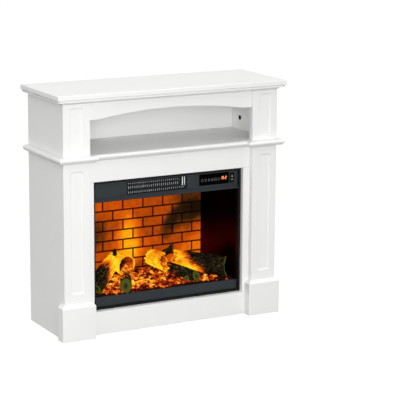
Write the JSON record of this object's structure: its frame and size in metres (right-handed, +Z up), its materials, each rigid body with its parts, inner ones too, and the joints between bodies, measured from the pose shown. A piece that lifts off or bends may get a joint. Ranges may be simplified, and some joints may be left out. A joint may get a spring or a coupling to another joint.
{
  "type": "electric fireplace",
  "caption": "Freestanding electric fireplace: white mantel surround with display niche and black insert with brick flame screen, logs, heater outlet and controls.",
  "frame": {"origin": "middle of the footprint at floor level", "axes": "+Z up, the front faces -Y, +X to the right for someone facing the front"},
  "size_m": [0.8, 0.29, 0.77],
  "materials": {
    "white_lacquer": "satin white lacquer on smooth MDF",
    "raw_board": "plain white melamine board with visible edges",
    "black_steel": "semi-gloss black powder coat",
    "slate_steel": "fine dark slate powder coat",
    "black_plastic": "fine satin",
    "gloss_black": "polished touch panel",
    "brick_screen": "translucent screen printed with brickwork, lit from behind",
    "embers": "translucent moulded resin, lit from below",
    "glowing_log": "translucent moulded resin bark, lit from inside",
    "dark_log": "painted resin bark with green-brown cut ends",
    "zinc_steel": "zinc plated",
    "aluminium": "bright",
    "circuit_board": "green solder mask",
    "ceramic": "unglazed"
  },
  "bodies": {
    "surround": {"mantel_top": "white_lacquer", "cornice_front": "white_lacquer", "cornice_left": "white_lacquer", "cornice_right": "white_lacquer", "valance": "white_lacquer", "upper_pilaster_left": "white_lacquer", "upper_pilaster_right": "white_lacquer", "upper_side_left": "white_lacquer", "upper_side_right": "white_lacquer", "cable_grommet": "black_plastic", "niche_back": "white_lacquer", "mid_shelf": "white_lacquer", "lower_pilaster_left": "white_lacquer", "lower_pilaster_right": "white_lacquer", "lower_side_left": "white_lacquer", "lower_side_right": "white_lacquer", "plinth_left": "white_lacquer", "plinth_right": "white_lacquer", "header_board": "white_lacquer", "stile_left": "white_lacquer", "stile_right": "white_lacquer", "kick_board": "white_lacquer", "insert_shelf": "raw_board", "rear_rail": "raw_board", "fixing_bracket_left": "zinc_steel", "fixing_bracket_right": "zinc_steel", "front_trim": "black_steel", "top_fascia": "slate_steel", "bottom_fascia": "slate_steel", "outlet_grille": "black_steel", "display_window": "gloss_black", "rocker_bezel": "black_plastic", "case_bottom": "black_steel", "case_top": "black_steel", "case_left": "black_steel", "case_right": "black_steel", "rear_cover": "black_steel", "cord_gland": "black_plastic", "liner_left": "black_steel", "liner_right": "black_steel", "firebox_ceiling": "black_steel", "flame_screen": "brick_screen", "ember_bed": "embers", "log_left": "dark_log", "log_arch": "glowing_log", "log_stub": "dark_log", "log_centre": "glowing_log", "log_front": "dark_log", "log_right": "dark_log", "led_board": "circuit_board", "spindle_bush": "black_plastic", "spindle_motor": "zinc_steel", "heater_duct": "zinc_steel", "heating_element": "aluminium", "blower_motor": "zinc_steel", "thermal_cutout": "ceramic", "control_board": "circuit_board"},
    "rocker": {"power_rocker": "black_plastic"},
    "spindle": {"flame_spindle": "aluminium"},
    "blower": {"blower_wheel": "aluminium"}
  },
  "joints": [
    {"name": "rocker_tilt", "type": "hinge", "parent": "surround", "child": "rocker", "pos_m": [0.2335, -0.0875, 0.456], "axis": [1, 0, 0], "range_deg": [0, 22]},
    {"name": "spindle_spin", "type": "hinge", "parent": "surround", "child": "spindle", "pos_m": [0, 0.087, 0.173], "axis": [1, 0, 0], "continuous": true},
    {"name": "blower_spin", "type": "hinge", "parent": "surround", "child": "blower", "pos_m": [0, -0.01, 0.4525], "axis": [1, 0, 0], "continuous": true}
  ]
}
